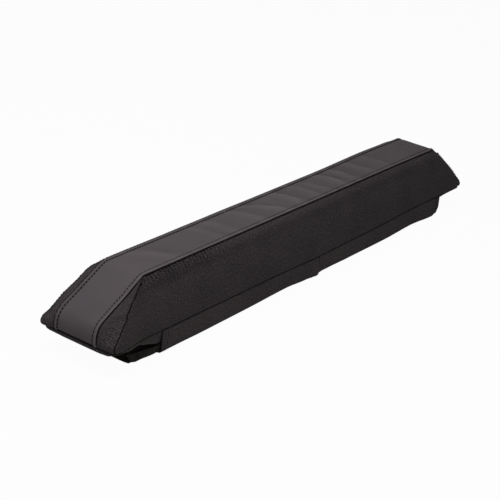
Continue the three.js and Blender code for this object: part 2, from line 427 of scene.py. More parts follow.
def mark_seams(obj, distance):
    """Keeps each point's distance from the nearest seam, in millimetres, for the painted shade beside
    seams.
    """
    mark(obj, "seam", lambda point: max(distance(point), 0) / MM)


def finish_cloth(obj, thickness=CLOTH):
    """Gives a panel its thickness, inwards."""
    wall = obj.modifiers.new("wall", "SOLIDIFY")
    wall.thickness = thickness
    wall.offset = -1
    wall.use_even_offset = False
    wall.use_rim = True


def refine(obj):
    sub = obj.modifiers.new("smooth", "SUBSURF")
    sub.levels = sub.render_levels = 1
    bake(obj)


def flat_area(bm):
    """The area of a panel's flat cut, from its cloth coordinates."""
    uv = bm.loops.layers.uv["cloth"]
    total = 0
    for face in bm.faces:
        corners = [loop[uv].uv for loop in face.loops]
        total += abs(sum(a.cross(b) for a, b in zip(corners, corners[1:] + corners[:1]))) / 2
    return total


def bake(obj):
    """Applies an object's modifiers."""
    mesh = settled_mesh(obj)
    obj.modifiers.clear()
    obj.data = mesh
    mesh.shade_smooth()


# Thread

def stitch_row(bm, line, pitch, length, radius):
    """Stitches along a line of points, each a short capsule that lies in the cloth."""
    path = Path(line)
    count = int(path.length / pitch)
    for i in range(count):
        centre = (i + 0.5) * pitch
        start = path.at(centre - length / 2)
        end = path.at(centre + length / 2)
        along = end - start
        if along.length < radius:
            continue
        turn = along.to_track_quat("Z", "Y").to_matrix().to_4x4()
        place = Matrix.Translation((start + end) / 2) @ turn
        size = Matrix.Diagonal((radius, radius, along.length / 2, 1))
        bmesh.ops.create_icosphere(bm, subdivisions=1, radius=1, matrix=place @ size)


def line_on(obj, place, count, lift):
    """Points at a lift over an object's surface, nearest to place(t) for t from 0 to 1."""
    graph = bpy.context.evaluated_depsgraph_get()
    solid = obj.evaluated_get(graph)
    points = []
    for i in range(count + 1):
        found, point, normal, _ = solid.closest_point_on_mesh(place(i / count))
        if found:
            points.append(point + normal * lift)
    return points


# Shader maths

class Signal:
    """A socket that carries a number. Arithmetic on it adds Math nodes."""

    def __init__(self, shader, socket):
        self.shader = shader
        self.socket = socket

    def math(self, operation, other=None, first=None):
        a, b = (first, self) if first is not None else (self, other)
        values = {0: a} if b is None else {0: a, 1: b}
        return self.shader.node("ShaderNodeMath", {"operation": operation}, values)

    def __add__(self, other):
        return self.math("ADD", other)

    def __radd__(self, other):
        return self.math("ADD", first=other)

    def __sub__(self, other):
        return self.math("SUBTRACT", other)

    def __rsub__(self, other):
        return self.math("SUBTRACT", first=other)

    def __mul__(self, other):
        return self.math("MULTIPLY", other)

    def __rmul__(self, other):
        return self.math("MULTIPLY", first=other)

    def __truediv__(self, other):
        return self.math("DIVIDE", other)

    def __pow__(self, other):
        return self.math("POWER", other)

    def abs(self):
        return self.math("ABSOLUTE")

    def sin(self):
        return self.math("SINE")

    def floor(self):
        return self.math("FLOOR")

    def modulo(self, other):
        return self.math("FLOORED_MODULO", other)


class Shader:
    """A material's nodes around one Principled shader."""

    def __init__(self, name):
        self.material = bpy.data.materials.new(name)
        self.material.use_nodes = True
        self.tree = self.material.node_tree
        self.surface = self.tree.nodes["Principled BSDF"]

    def node(self, kind, settings=None, values=None, out=0):
        """Adds a node: settings are its properties, values its sockets' values or links."""
        made = self.tree.nodes.new(kind)
        for key, setting in (settings or {}).items():
            setattr(made, key, setting)
        for key, value in (values or {}).items():
            self.feed(made.inputs[key], value)
        return Signal(self, made.outputs[out])

    def feed(self, socket, value):
        if isinstance(value, Signal):
            self.tree.links.new(value.socket, socket)
        else:
            socket.default_value = value

    def set(self, **values):
        """Sets or links the Principled shader's sockets."""
        for name, value in values.items():
            self.feed(self.surface.inputs[name.replace("_", " ")], value)

    def noise(self, vector, scale, detail=2.0, roughness=0.5):
        values = {"Vector": vector, "Scale": scale, "Detail": detail, "Roughness": roughness}
        return self.node("ShaderNodeTexNoise", {}, values)

    def range(self, value, low, high):
        return self.node("ShaderNodeMapRange", {}, {"Value": value, "To Min": low, "To Max": high})

    def slope(self, value, start, end):
        """0 at start, 1 at end, and clamped beyond them."""
        values = {"Value": value, "From Min": start, "From Max": end}
        return self.node("ShaderNodeMapRange", {}, values)

    def colour(self, share, dark, light):
        """Between dark at 0 and light at 1, and on in the same way outside them."""
        values = {"Factor": share, 6: (*dark, 1), 7: (*light, 1)}
        settings = {"data_type": "RGBA", "clamp_factor": False}
        return self.node("ShaderNodeMix", settings, values, out=2)

    def bump(self, height, distance, strength):
        values = {"Height": height, "Distance": distance, "Strength": strength}
        return self.node("ShaderNodeBump", {}, values)

    def object_place(self):
        return self.node("ShaderNodeTexCoord", {}, {}, out=3)

    def cloth_place(self):
        return self.node("ShaderNodeUVMap", {"uv_map": "cloth"})

    def marked(self, name):
        """A measure that is kept at the points of the mesh."""
        return self.node("ShaderNodeAttribute", {"attribute_name": name}, {}, out=2)

    def parts(self, vector):
        """The X and Y of a vector."""
        split = self.tree.nodes.new("ShaderNodeSeparateXYZ")
        self.feed(split.inputs[0], vector)
        return Signal(self, split.outputs[0]), Signal(self, split.outputs[1])


def times(colour, factor):
    return tuple(channel * factor for channel in colour)


def woven_cloth(
    name, colour, rib=(0, 1), pitch=2 * MM, depth=0.3, grain=1.1, fades=None, sewn=False
):
    """Heavy polyester in a basket weave, with ribs across the direction rib. fades gives where,
    along the cloth, the ribs begin and end to flatten. sewn cloth has painted shade down in its
    seams and in its creases."""
    s = Shader(name)
    place = s.cloth_place()
    drift = s.noise(place, 55, 1)
    across, along = s.parts(place)
    warp = across / YARN + drift * 0.5
    weft = along / YARN + drift * 0.4
    blocks = ((warp / 2).floor() + (weft / 2).floor()).modulo(2)
    warp_yarn = (warp * math.pi).sin().abs() ** 0.6
    weft_yarn = (weft * math.pi).sin().abs() ** 0.6
    height = blocks * warp_yarn + (1 - blocks) * weft_yarn
    ribs = ((across * rib[0] + along * rib[1]) / pitch + drift * 0.35) * (2 * math.pi)
    rib_height = ribs.sin() * 0.5 + 0.5
    fibre = s.noise(place, 2600, 1)
    speckle = s.noise(place, 460, 2)
    patches = s.noise(s.object_place(), 24, 3)
    broken = s.noise(place, 130, 2)
    if fades:
        broken = broken * (1 - s.slope(across, *fades) * 0.85)
    tone = height * 0.3 + fibre * 0.1 + (speckle - 0.5) * grain + (patches - 0.5) * 0.4 + 0.25
    tone = tone + s.slope(speckle, 0.56, 0.72) * (grain * 0.3)
    tone = tone + (rib_height - 0.5) * depth * (broken * 2)
    if sewn:
        # Painted shade: darker close to each seam and down in the pucker creases
        tone = tone - s.slope(s.marked("seam"), 1.7, 0.8) * 0.6 - s.marked("painted_crease_highlight_and_shade") * 0.75
    s.set(Base_Color=s.colour(tone, times(colour, 0.35), times(colour, 1.75)))
    s.set(Roughness=s.range(height, 0.92, 0.78))
    s.set(Normal=s.bump(height * 0.5 + rib_height * broken + fibre * 0.2, 0.28 * MM, 0.8))
    s.set(Sheen_Weight=0.02, Sheen_Roughness=0.5, Specular_IOR_Level=0.01)
    return s.material


def coated_cloth(name, colour, roughness=0.5, edge=None):
    """Smooth cloth with a satin coating and a fine grain. A strip with folded edges at edge, across
    its cloth coordinates, has a painted highlight along the folds, painted shade where the
    topstitch sinks in, and painted light and shade over its ripples."""
    s = Shader(name)
    place = s.object_place()
    values = {"Vector": place, "Scale": 1100}
    grain = s.node("ShaderNodeTexVoronoi", {"feature": "SMOOTH_F1"}, values)
    fine = s.noise(place, 1700, 2)
    rubbed = s.noise(place, 18, 4, 0.6)
    tone = 0.5 + (rubbed - 0.5) * 0.8 + (fine - 0.5) * 0.5
    if edge:
        across = s.parts(s.cloth_place())[1].abs()
        # Painted highlight along each folded edge, painted shade in the topstitch groove, and painted
        # light and shade over the ripples: lighter on their crests, darker in their troughs
        painted_crease_highlight_and_shade = s.slope((across - (edge - 0.75 * MM)).abs(), 0.55 * MM, 0.15 * MM)
        groove = s.slope((across - (edge - FOLD_WIDTH)).abs(), 1 * MM, 0.3 * MM)
        tone = tone + painted_crease_highlight_and_shade * 1.4 - groove * 0.5 + s.marked("ripple") * 0.35
    s.set(Base_Color=s.colour(tone, times(colour, 0.82), times(colour, 1.18)))
    s.set(Roughness=s.range(rubbed, roughness - 0.07, roughness + 0.09))
    s.set(Normal=s.bump(grain * 0.6 + fine * 0.4, 0.12 * MM, 0.5))
    s.set(Specular_IOR_Level=0.004)
    return s.material


def thread(name, colour):
    s = Shader(name)
    values = {"Vector": s.object_place(), "Scale": 900, "Distortion": 1.5}
    twist = s.node("ShaderNodeTexWave", {}, values)
    s.set(Base_Color=s.colour(twist, times(colour, 0.7), times(colour, 1.3)))
    s.set(Roughness=s.range(twist, 0.6, 0.75), Specular_IOR_Level=0.01)
    s.set(Normal=s.bump(twist, 0.1 * MM, 0.6))
    return s.material


def brushed_tape(name, colour, scale):
    """Hook or loop tape: a dense nap."""
    s = Shader(name)
    nap = s.node("ShaderNodeTexVoronoi", {}, {"Vector": s.object_place(), "Scale": scale})
    s.set(Base_Color=s.colour(nap, times(colour, 1.4), times(colour, 0.5)))
    s.set(Roughness=s.range(nap, 0.8, 0.95), Specular_IOR_Level=0.02)
    s.set(Normal=s.bump(1 - nap, 0.4 * MM, 0.9))
    return s.material


def brushed_flap(name, colour):
    """The inner flaps' cloth, with a brushed face that the hooks hold on to."""
    s = Shader(name)
    place = s.object_place()
    nap = s.noise(place, 700, 3, 0.7)
    clumps = s.noise(place, 160, 3, 0.6)
    tone = (nap - 0.5) * 1.2 + (clumps - 0.5) * 2.2 + 0.5
    s.set(Base_Color=s.colour(tone, times(colour, 0.35), times(colour, 2.3)))
    s.set(Roughness=s.range(nap, 0.85, 0.98), Specular_IOR_Level=0.02)
    s.set(Normal=s.bump(nap * 0.4 + clumps, 0.5 * MM, 0.9))
    return s.material


def dotted_rubber(name, colour):
    """The grip mat: soft rubber with small raised dots."""
    s = Shader(name)
    turn = math.pi / (4 * MM)
    across, along = s.parts(s.object_place())
    dots = (across * turn).sin() * (along * turn).sin()
    dot = dots.abs() ** 0.7
    worn = s.noise(s.object_place(), 60, 3)
    s.set(Base_Color=s.colour(worn, times(colour, 0.8), times(colour, 1.3)))
    s.set(Roughness=s.range(dot, 0.75, 0.55))
    s.set(Normal=s.bump(dot, 0.6 * MM, 0.8))
    return s.material


def foam(name, colour):
    s = Shader(name)
    cells = s.node("ShaderNodeTexVoronoi", {}, {"Vector": s.object_place(), "Scale": 900})
    s.set(Base_Color=s.colour(cells, times(colour, 0.7), times(colour, 1.2)))
    s.set(Roughness=s.range(cells, 0.85, 0.98))
    s.set(Normal=s.bump(cells, 0.3 * MM, 0.6))
    return s.material


STRIP_COLOUR = (0.080, 0.0700, 0.0740)
WOVEN_COLOUR = (0.0365, 0.0310, 0.0320)
FLAP_COLOUR = (0.0425, 0.0360, 0.0368)

strip_cloth = coated_cloth("strip_cloth", STRIP_COLOUR, edge=HALF_STRIP)
side_cloth = woven_cloth(
    "side_cloth", WOVEN_COLOUR, (0.67, 0.74), 2.2 * MM, 0.5, 1.15, (-0.27, -0.1), sewn=True
)
# The sides' cloth made 5% lighter: painted light on the gussets
gusset_cloth = woven_cloth(
    "gusset_cloth", times(WOVEN_COLOUR, 1.05), (1, -0.35), 2 * MM, 0.45, 1, sewn=True
)
flap_cloth = woven_cloth("flap_cloth", FLAP_COLOUR, (0.2, 1), 2.4 * MM, 0.15)
lining_cloth = coated_cloth("lining_cloth", (0.03, 0.028, 0.028), 0.7)
facing_cloth = woven_cloth("facing_cloth", (0.046, 0.040, 0.0405), (1, 0), 2 * MM, 0.1)
binding_tape = woven_cloth("binding_tape", (0.036, 0.0305, 0.030))
dark_thread = thread("dark_thread", (0.006, 0.0055, 0.0055))
hook_tape = brushed_tape("hook_tape", (0.012, 0.012, 0.012), 900)
loop_tape = brushed_tape("loop_tape", (0.014, 0.014, 0.014), 1500)
brushed_cloth = brushed_flap("brushed_cloth", (0.017, 0.0152, 0.0138))
grip_rubber = dotted_rubber("grip_rubber", (0.014, 0.013, 0.013))
core_foam = foam("core_foam", (0.08, 0.08, 0.085))


# Panels of the padded body

def along_body(a):
    """The point of the end outline, in X and Z, at share a from the left foot to the right foot."""
    return BODY_LINE.at(a * BODY_LINE.length)


def strip_lift(point):
    """Folded edges, the groove that the topstitch pulls down, and soft ripples over the top."""
    edge = HALF_STRIP - abs(point.y)
    fold = FOLD_RISE * (1 - smooth(3.2 * MM, 4.4 * MM, edge))
    roll = -1.3 * MM * (1 - smooth(-0.2 * MM, 1.2 * MM, edge))
    groove = -0.45 * MM * bump_at(FOLD_WIDTH, 0.7 * MM, edge)
    foot = -1.2 * MM * (1 - smooth(0, 2.5 * MM, point.z - BASE_Z))
    crown = (0.7 + 0.9 * smooth(0.2, 0.3, point.x)) * MM * (1 - (point.y / HALF_STRIP) ** 2)
    fold += crown * smooth(0.04, 0.08, point.z)
    inside = smooth(FOLD_WIDTH, FOLD_WIDTH + 8 * MM, edge)
    return fold + roll + groove + foot + ripple(point) * inside


# Ripples over the strip, where it is a little long for the foam: x, height, width and slant
RIPPLES = [
    (-267, 0.7, 10, -0.55), (-171, 0.5, 7, -0.1), (-144, 0.6, 7, -0.1), (-92, 0.8, 7.5, -0.2),
    (-55, 1, 7, -0.7), (-5, 1, 8, -0.1), (34, 0.9, 6.5, 0), (56, 0.8, 6.5, -0.2),
    (94, 1, 7.5, -0.1), (124, 0.9, 7, 0), (163, 0.8, 8, -0.1), (203, 0.6, 8, 0),
]


def ripple(point):
    """Ripples across the strip that hook towards the left at their far ends."""
    x, y = point.x / MM, point.y / MM
    top = smooth(TOP_Z - 6 * MM, TOP_Z - 1 * MM, point.z)
    hook = 4 * smooth(6, 20, y) + 1.5 * noise.noise(Vector((x * 0.02, y * 0.05, 3.1)))
    total = 0
    for centre, height, width, slant in RIPPLES:
        off = x + hook - slant * y - centre
        total += height * (bump_at(0, width, off) - 0.35 * bump_at(1.9 * width, width, off))
    swing = 0.85 + 0.5 * noise.noise(Vector((x * 0.014, y * 0.05, 8.7)))
    broad = 0.5 * noise.noise(Vector((x * 0.013, y * 0.02, 1.3)))
    return top * MM * (total * swing * 2 + broad)


def lay_over_foam(panel, node, area):
    """Hides the CAD node of a sewn panel that lies as cloth over the foam in its place."""
    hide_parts(node)
    return panel


def make_strip():
    columns = round(BODY_LINE.length / GRID)
    rows = 26

    def row_y(b):
        """Rows lie closer together in the folded edges."""
        share = abs(b - 0.5) * 2
        edge = 6 * MM
        inner = HALF_STRIP - edge
        reach = inner * share / 0.54 if share < 0.54 else inner + edge * (share - 0.54) / 0.46
        return math.copysign(reach, b - 0.5)

    def place(a, b):
        point = along_body(a)
        return Vector((point.x, row_y(b), point.y))

    def cloth_uv(a, b):
        return (a * BODY_LINE.length, row_y(b))

    strip, area = cut_panel(
        "sewn_top_strip", strip_cloth, columns, rows, place, cloth_uv, BODY_INSIDE
    )

    def held(point):
        edge = HALF_STRIP - abs(point.y)
        return 1 if edge < FOLD_WIDTH + 1 * MM or point.z < BASE_Z + 3 * MM else 0

    swell(strip, held, 14, 1.2 * MM)
    refine(strip)
    # Keeps the ripple height for the strip's painted light on crests and painted shade in troughs
    mark(strip, "ripple", lambda point: ripple(point) / MM)
    push(strip, strip_lift)
    shape(strip, settle)
    finish_cloth(strip)
    return lay_over_foam(strip, "top_strip", area)


def seam_dip(distance, depth=1.3 * MM, width=2.4 * MM):
    """How far cloth turns in beside a seam."""
    return -depth * (1 - smooth(-0.2 * MM, width, distance))


def pucker(point, distance):
    """How deep, from 0 to 1, a place lies in the short creases that run down from the seam under
    the strip. They are strongest near the left end."""
    strong = 0.1 + 0.9 * (1 - smooth(-0.23, -0.12, point.x))
    phase = point.x / (5.7 * MM) + 0.12 * noise.noise(Vector((point.x * 30, 0, 0)))
    valley = (0.5 + 0.5 * math.cos(2 * math.pi * phase)) ** 2
    swing = 0.85 + 0.35 * noise.noise(Vector((point.x * 70, 4.2, 0)))
    fade = math.exp(-((distance / (11 * MM)) ** 2)) * smooth(0, 2.5 * MM, distance)
    return strong * valley * swing * fade


def make_side(sign, name, node):
    columns = round(2 * HALF_LENGTH / GRID)
    rows = round(SIDE_PATH.length / GRID)

    def place(a, b):
        section = SIDE_PATH.at(b * SIDE_PATH.length)
        z = min(section.y, TOP_Z - 0.5 * MM)
        left, right = -reach_at(LEFT_PATH, z), reach_at(RIGHT_PATH, z)
        return Vector((left + a * (right - left), sign * section.x, section.y))

    def cloth_uv(a, b):
        return (place(a, b).x, b * SIDE_PATH.length)

    side, area = cut_panel(name, side_cloth, columns, rows, place, cloth_uv, BODY_INSIDE)

    def held(point):
        near_top = TOP_Z - point.z < 3 * MM
        return 1 if near_top or point.z < BASE_Z + 3 * MM or to_end(point) < 3 * MM else 0

    swell(side, held, 4, 1.6 * MM)
    refine(side)

    def lift(point):
        from_strip = max(TOP_Z - point.z, 0) * 1.08
        from_base = max(point.z - BASE_Z, 0)
        from_hip = max(to_end(point), 0) * 0.7
        dips = seam_dip(from_strip, 2.4 * MM, 2.6 * MM)
        dips += seam_dip(from_base, 1.6 * MM, 1.8 * MM)
        puff = 1.6 * MM * bump_at(7.5 * MM, 5.5 * MM, from_strip)
        dips += puff * smooth(2 * MM, 20 * MM, from_hip)
        waves = 0.5 * MM * noise.noise(Vector((point.x * 16, point.z * 22, sign)))
        away = smooth(0, 12 * MM, min(from_strip, from_base, from_hip))
        creases = 2.2 * MM * pucker(point, from_strip) * smooth(0, 6 * MM, from_hip)
        return dips - creases + waves * away

    # The pucker depth, kept for the painted shade down in the creases
    mark(side, "painted_crease_highlight_and_shade", lambda p: pucker(p, (TOP_Z - p.z) * 1.08))
    mark_seams(side, lambda p: min((TOP_Z - p.z) * 0.8, p.z - BASE_Z, to_end(p) * 1.2))
    push(side, lift)
    shape(side, settle)
    finish_cloth(side)
    return lay_over_foam(side, node, area)


def make_gusset(end, sign, name, node):
    path = end_path(end)
    top = TOP_Z - 2.6 * MM
    run = next(d for d in [i * 0.2 * MM for i in range(2000)] if path.at(d).y >= top)
    rows = round(run / (1.6 * MM))

    def place(a, b):
        section = path.at(b * run)
        outer = reach_at(SIDE_PATH, section.y)
        inner = HALF_STRIP - 0.6 * MM
        width = max(outer, inner) - inner
        return Vector((end * section.x, sign * (inner + a * width), section.y))

    def cloth_uv(a, b):
        return (b * run, place(a, b).y)

    gusset, _ = cut_panel(name, gusset_cloth, 14, rows, place, cloth_uv, BODY_INSIDE)

    def held(point):
        near_strip = abs(point.y) - HALF_STRIP < 2 * MM
        return 1 if near_strip or point.z < BASE_Z + 2 * MM or to_side(point) < 2 * MM else 0

    swell(gusset, held, 40, 1.2 * MM)
    refine(gusset)

    def lift(point):
        from_strip = abs(point.y) - HALF_STRIP
        from_base = point.z - BASE_Z
        from_hip = to_side(point)
        room = smooth(0, 8 * MM, from_strip + from_hip)
        dips = seam_dip(from_strip, 1.5 * MM, 2.4 * MM) * smooth(0, 4 * MM, from_hip)
        dips += seam_dip(from_base, 1.3 * MM, 1.8 * MM)
        waves = 0.4 * MM * noise.noise(Vector((point.y * 30, point.z * 40, end + 3 * sign)))
        return dips + (waves + 0.6 * MM) * room * smooth(0, 5 * MM, min(from_strip, from_hip))

    mark_seams(gusset, lambda p: min(abs(p.y) - HALF_STRIP, p.z - BASE_Z, to_side(p) * 1.3))
    push(gusset, lift)
    shape(gusset, settle)
    area = sum(face.area for face in gusset.data.polygons)
    finish_cloth(gusset)
    return lay_over_foam(gusset, node, area)


def make_foam():
    """The foam block inside, a little smaller than the cover and drawn in with its corners."""
    bm = bmesh.new()
    bm.from_mesh(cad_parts["foam_core"].data)
    bmesh.ops.remove_doubles(bm, verts=bm.verts, dist=0.01 * MM)
    cuts = [((0, 0, 1), BASE_Z / MM + step * 5) for step in range(1, 12)]
    cuts += [((0, 1, 0), side * y) for side in (-1, 1) for y in (20, 28, 33, 38, 43, 47)]
    ends = (250, 290, 310, 325, 340, 355, 368, 376)
    cuts += [((1, 0, 0), side * x) for side in (-1, 1) for x in ends]
    for way, place in cuts:
        every = bm.verts[:] + bm.edges[:] + bm.faces[:]
        bmesh.ops.bisect_plane(bm, geom=every, plane_co=Vector(way) * place * MM, plane_no=way)
    for vert in bm.verts:
        z = min(max(vert.co.z, BASE_Z + 1 * MM), TOP_Z - 2.5 * MM)
        room_x = reach_at(end_path(vert.co.x), z) - 3 * MM
        room_y = reach_at(SIDE_PATH, z) - 3 * MM
        x = min(max(vert.co.x, -room_x), room_x)
        y = min(max(vert.co.y, -room_y), room_y)
        vert.co = settle(Vector((x, y, z)))
    block = new_object("foam_block", bm, core_foam)
    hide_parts("foam_core")
    return block


# Bound edge

# How far the binding is tucked under the left end, across it
END_TUCK = [(-46, 0.8), (-38, 0.35), (-30, 0), (2, 0), (14, 0), (26, 0.1), (40, 0.2)]


def make_binding():
    """A folded tape round the underside's edge, a little inside the cover's outline."""
    x_left = HALF_LENGTH + 1.6 * MM
    x_right = HALF_LENGTH - 0.6 * MM
    y = HALF_WIDTH - 2.1 * MM
    outline = rounded([
        (0, -y, 0), (x_right, -y, 6 * MM), (x_right, y, 6 * MM),
        (-x_left + 1.8 * MM, y, 13 * MM), (-x_left, -y, 11 * MM), (0, -y, 0),
    ])
    path = Path(outline)
    high, low = BASE_Z - 0.3 * MM, BASE_Z - 4.4 * MM
    half_tape = 0.9 * MM
    columns = round(path.length / GRID)

    def place(a, b):
        here = path.at(a * path.length)
        behind = path.at(max(a - 0.0005, 0) * path.length)
        ahead = path.at(min(a + 0.0005, 1) * path.length) - behind
        outwards = Vector((ahead.y, -ahead.x)).normalized()
        turn = 2 * math.pi * b
        across = math.copysign(abs(math.cos(turn)) ** 0.6, math.cos(turn)) * half_tape
        rise = math.copysign(abs(math.sin(turn)) ** 0.5, math.sin(turn)) * (high - low) / 2
        point = here + outwards * (across - half_tape)
        if here.y < 0:
            free = smooth(-0.3, -0.306, here.x) + smooth(0.324, 0.33, here.x)
        else:
            free = smooth(-0.348, -0.354, here.x) + smooth(0.275, 0.281, here.x)
        point.y += math.copysign(1.5 * MM * free, here.y) * smooth(0, 0.04, abs(here.y))
        wave = 0.2 * MM * noise.noise(Vector((here.x * 40, here.y * 40, 5.5)))
        wave += base_wave(here.x) * near_base_front(here.y)
        tucked = 0.65 * smooth(0.322, 0.332, here.x)
        tucked += along_marks(END_TUCK, here.y / MM) * smooth(-0.35, -0.37, here.x)
        drop = (high - low) * (1 - tucked) * (0.5 - rise / (high - low))
        return Vector((point.x, point.y, high - drop + wave))

    def cloth_uv(a, b):
        return (a * path.length, b * 12 * MM)

    bm = cloth_grid(columns, 14, place, cloth_uv)
    bmesh.ops.remove_doubles(bm, verts=bm.verts, dist=0.02 * MM)
    bmesh.ops.recalc_face_normals(bm, faces=bm.faces)
    binding = new_object("bound_edge", bm, binding_tape)
    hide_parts("base_binding")
    return binding


# Wrap flaps

def hem_lift(distance, stitch):
    """A folded hem: thicker up to its stitch line, which is pulled in."""
    plateau = 0.6 * MM * (1 - smooth(stitch - 1 * MM, stitch, distance))
    roll = -0.6 * MM * (1 - smooth(-0.2 * MM, 1 * MM, distance))
    return plateau + roll - 0.4 * MM * bump_at(stitch, 0.8 * MM, distance)


def front_section(radius, drop, bulge, reach):
    """The outside of a front flap, in Y and Z: down from the seam, round the bend and under."""
    y = -HALF_WIDTH
    return Path(rounded([
        (y + 0.5 * MM, BASE_Z - 0.4 * MM, 0),
        (y - bulge, drop, radius),
        (y + 24 * MM, 0, 10 * MM),
        (reach, 0, 0),
    ]))


def column_at(marks, column, x):
    """One column of marks in millimetres, at x in metres and in metres."""
    return along_marks([(m[0] * MM, m[column] * MM) for m in marks], x)


def make_front_flap(node, name, marks, wrinkles):
    """marks give (x, bend radius, height of the bend over the floor, bulge) in millimetres, and
    wrinkles give (x, lean, width, height)."""
    low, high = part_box(node)
    length = high.x - low.x
    flat = front_section(9 * MM, 0, 0, high.y).length
    columns = round(length / GRID)
    rows = round(flat / GRID)

    def section_at(x):
        radius, drop, bulge = (column_at(marks, i, x) for i in (1, 2, 3))
        return front_section(radius, drop, bulge, high.y)

    sections = [section_at(low.x + length * i / columns) for i in range(columns + 1)]

    def place(a, b):
        section = sections[round(a * columns)]
        point = section.at(b * section.length)
        x = low.x + a * length
        hung = smooth(8 * MM, BASE_Z, point.y) if point.x < 0 else 0
        return Vector((x, point.x, point.y + base_wave(x) * hung))

    def cloth_uv(a, b):
        return (a * length, b * flat)

    flap, area = cut_panel(name, flap_cloth, columns, rows, place, cloth_uv, WRAP_INSIDE)
    refine(flap)

    def lift(point):
        hanging = smooth(2 * MM, 7 * MM, point.z)
        seam = seam_dip(BASE_Z - point.z, 0.5 * MM, 2 * MM)
        waves = 0.6 * MM * noise.noise(Vector((point.x * 24, point.z * 35, 6.6)))
        hem = sum(
            hem_lift(abs(point.x - x), HEM_WIDTH) for x in (low.x, high.x) if abs(x) > FLAPS_MEET
        )
        folds = sum(height * MM * bump_at((x + lean * point.z / MM) * MM, width * MM, point.x)
                    for x, lean, width, height in wrinkles)
        return (seam + waves + folds) * hanging + hem * smooth(0.5 * MM, 4 * MM, point.z)

    push(flap, lift)
    finish_cloth(flap)
    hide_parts(node)
    return flap


def make_rear_flap(node, name, lip_marks):
    """lip_marks give (x, Y, Z) of the lip's free edge in millimetres."""
    low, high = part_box(node)
    length = high.x - low.x
    floor = low.z

    def section_at(x):
        lip_y, lip_z = (column_at(lip_marks, i, x) for i in (1, 2))
        sags = [(-348, floor / MM), (-334, 1), (-302, 1), (-294, floor / MM)]
        front = low.y - column_at([(-302, 2.6), (-294, 0.7)], 1, x)
        return Path(rounded([
            (HALF_WIDTH - 0.5 * MM, BASE_Z - 0.4 * MM, 0),
            (HALF_WIDTH, floor, 10 * MM),
            (low.y + 6 * MM, floor, 2 * MM),
            (front, column_at(sags, 1, x), 1.5 * MM),
            (lip_y, lip_z, 0),
        ]))

    columns = round(length / GRID)
    sections = [section_at(low.x + length * i / columns) for i in range(columns + 1)]
    flat = sections[columns // 2].length
    rows = round(flat / GRID)
    round_by = 10 * MM

    def place(a, b):
        section = sections[round(a * columns)]
        point = section.at(b * section.length)
        x = low.x + a * length
        corner = Vector((round_by - (x - low.x), round_by - (point.x - low.y + 2 * MM)))
        if corner.x > 0 and corner.y > 0:
            moved = corner * (max(corner) / corner.length)
            return Vector((x + corner.x - moved.x, point.x + corner.y - moved.y, point.y))
        return Vector((x, point.x, point.y))

    def cloth_uv(a, b):
        return (a * length, b * flat)

    flap, area = cut_panel(name, brushed_cloth, columns, rows, place, cloth_uv, WRAP_INSIDE)
    refine(flap)

    def lift(point):
        return 0.35 * MM * noise.noise(Vector((point.x * 60, point.y * 60, point.z * 60 + 2)))

    push(flap, lift)
    finish_cloth(flap)
    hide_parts(node)
    return flap


def make_facing():
    """The short facing behind the front flap's left edge, sewn into the same seam."""
    start, end = -354 * MM, -282 * MM
    y = -HALF_WIDTH + 2.4 * MM
    lower = [(-354, 22.6), (-336, 21.4), (-326, 18.6), (-300, 12.6), (-282, 11)]

    def place(a, b):
        x = start + a * (end - start)
        top = BASE_Z - 1 * MM + base_wave(x)
        bottom = min(along_marks(lower, x / MM) * MM, top - 0.6 * MM)
        z = top + b * (bottom - top)
        return Vector((x, y + 3 * MM * b * (1 - a) + 1.2 * MM * math.sin(a * 9) * b, z))

    def cloth_uv(a, b):
        spot = place(a, b)
        return (spot.x, BASE_Z - spot.z)

    facing, area = cut_panel("flap_facing", facing_cloth, 36, 8, place, cloth_uv, FACING_INSIDE)
    refine(facing)
    finish_cloth(facing, 0.8 * MM)
    return facing


# Making everything

def make_threads(strip, sides, flaps):
    """Topstitching along the strip, stitches down the corner seams, and the flaps' hem stitches."""
    bm = bmesh.new()
    for sign in (-1, 1):
        y = sign * (HALF_STRIP - FOLD_WIDTH)

        def along(t, y=y):
            point = along_body(t)
            return settle(Vector((point.x, y, point.y)))

        seam = line_on(strip, along, 800, 0.35 * MM)
        stitch_row(bm, seam, TOPSTITCH_PITCH, TOPSTITCH_LENGTH, BODY_THREAD)
        for end, path in ((-1, LEFT_PATH), (1, RIGHT_PATH)):

            def hip(t, end=end, path=path, sign=sign):
                z = BASE_Z + 2 * MM + t * (TOP_Z - BASE_Z - 8 * MM)
                return settle(Vector((end * reach_at(path, z), sign * reach_at(SIDE_PATH, z), z)))

            lift = 0.25 * MM if sign < 0 else -0.3 * MM
            seam = line_on(sides[(sign + 1) // 2], hip, 60, lift)
            stitch_row(bm, seam, SEAM_PITCH, SEAM_STITCH_LENGTH, BODY_THREAD)
            if sign < 0:
                knot = Matrix.Translation(seam[-1])
                bmesh.ops.create_icosphere(bm, subdivisions=2, radius=KNOT, matrix=knot)
    for flap, low, high in flaps:
        for x in (low + HEM_WIDTH, high - HEM_WIDTH):
            if abs(x) < FLAPS_MEET:
                continue

            def down(t, x=x):
                return Vector((x, -HALF_WIDTH - 1 * MM, BASE_Z - 2 * MM - t * 20 * MM))

            hem = line_on(flap, down, 30, 0.2 * MM)
            stitch_row(bm, hem, TOPSTITCH_PITCH, TOPSTITCH_LENGTH, HEM_THREAD)
    return new_object("stitching", bm, dark_thread)


